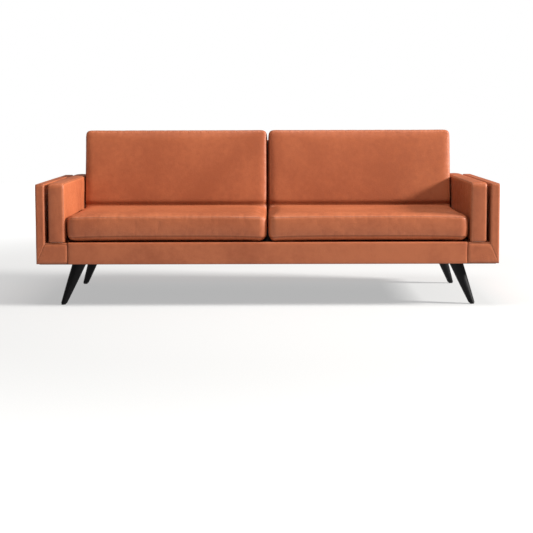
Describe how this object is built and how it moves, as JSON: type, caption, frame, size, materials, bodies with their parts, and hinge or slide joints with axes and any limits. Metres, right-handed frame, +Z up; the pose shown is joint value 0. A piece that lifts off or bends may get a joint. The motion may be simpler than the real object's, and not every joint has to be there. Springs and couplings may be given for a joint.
{
  "type": "sofa",
  "caption": "Low wide sofa with an L-section arm and padded inset at each end, loose boxed seat and back cushions, leather covers and splayed tapered wooden legs.",
  "frame": {"origin": "on the floor, under the middle of the overall box", "axes": "+X along the seat, to the right for someone who faces the sofa's front; +Y from the front to the back; +Z up"},
  "size_m": [2.2, 0.8694, 0.8255],
  "materials": {
    "saddle_leather": "semi-aniline, fine grain, satin",
    "black_stained_wood": "black stain with open grain, satin lacquer",
    "frame_beech": "planed",
    "cushion_foam": "open-cell foam in a wadding wrap",
    "black_cloth": "plain non-woven and zip tape",
    "webbing": "woven elastic webbing",
    "zinc_steel": "zinc plated",
    "black_nylon": "moulded, matt"
  },
  "bodies": {
    "frame": {"arm_cover_left": "saddle_leather", "arm_cover_right": "saddle_leather", "arm_frame_left": "frame_beech", "arm_frame_right": "frame_beech", "arm_pad_core_left": "cushion_foam", "arm_pad_core_right": "cushion_foam", "arm_pad_cover_left": "saddle_leather", "arm_pad_cover_right": "saddle_leather", "back_bottom_rail": "frame_beech", "back_cover": "saddle_leather", "back_lining": "black_cloth", "back_post_centre": "frame_beech", "back_post_left": "frame_beech", "back_post_right": "frame_beech", "back_top_rail": "frame_beech", "back_webbing_left": "webbing", "back_webbing_right": "webbing", "centre_brace": "frame_beech", "corner_block_front_left": "frame_beech", "corner_block_front_right": "frame_beech", "corner_block_rear_left": "frame_beech", "corner_block_rear_right": "frame_beech", "deck_pad": "black_cloth", "dust_cover": "black_cloth", "foot_glide_front_left": "black_nylon", "foot_glide_front_right": "black_nylon", "foot_glide_rear_left": "black_nylon", "foot_glide_rear_right": "black_nylon", "front_rail": "frame_beech", "front_rail_cover": "saddle_leather", "leg_bolt_front_left": "zinc_steel", "leg_bolt_front_right": "zinc_steel", "leg_bolt_rear_left": "zinc_steel", "leg_bolt_rear_right": "zinc_steel", "leg_front_left": "black_stained_wood", "leg_front_right": "black_stained_wood", "leg_plate_front_left": "zinc_steel", "leg_plate_front_right": "zinc_steel", "leg_plate_rear_left": "zinc_steel", "leg_plate_rear_right": "zinc_steel", "leg_rear_left": "black_stained_wood", "leg_rear_right": "black_stained_wood", "rear_rail": "frame_beech", "seat_webbing_left": "webbing", "seat_webbing_right": "webbing", "side_rail_left": "frame_beech", "side_rail_right": "frame_beech"},
    "seat_cushion_left": {"seat_cushion_left_core": "cushion_foam", "seat_cushion_left_cover": "saddle_leather", "seat_cushion_left_zip": "black_cloth"},
    "seat_cushion_right": {"seat_cushion_right_core": "cushion_foam", "seat_cushion_right_cover": "saddle_leather", "seat_cushion_right_zip": "black_cloth"},
    "back_cushion_left": {"back_cushion_left_core": "cushion_foam", "back_cushion_left_cover": "saddle_leather", "back_cushion_left_zip": "black_cloth"},
    "back_cushion_right": {"back_cushion_right_core": "cushion_foam", "back_cushion_right_cover": "saddle_leather", "back_cushion_right_zip": "black_cloth"}
  },
  "joints": [
    {"name": "lift_seat_cushion_left", "type": "slide", "parent": "frame", "child": "seat_cushion_left", "axis": [0, 0, 1], "range_m": [0, 0.3]},
    {"name": "lift_seat_cushion_right", "type": "slide", "parent": "frame", "child": "seat_cushion_right", "axis": [0, 0, 1], "range_m": [0, 0.3]},
    {"name": "lift_back_cushion_left", "type": "slide", "parent": "frame", "child": "back_cushion_left", "axis": [0, 0.1736, 0.9848], "range_m": [0, 0.3]},
    {"name": "lift_back_cushion_right", "type": "slide", "parent": "frame", "child": "back_cushion_right", "axis": [0, 0.1736, 0.9848], "range_m": [0, 0.3]}
  ]
}
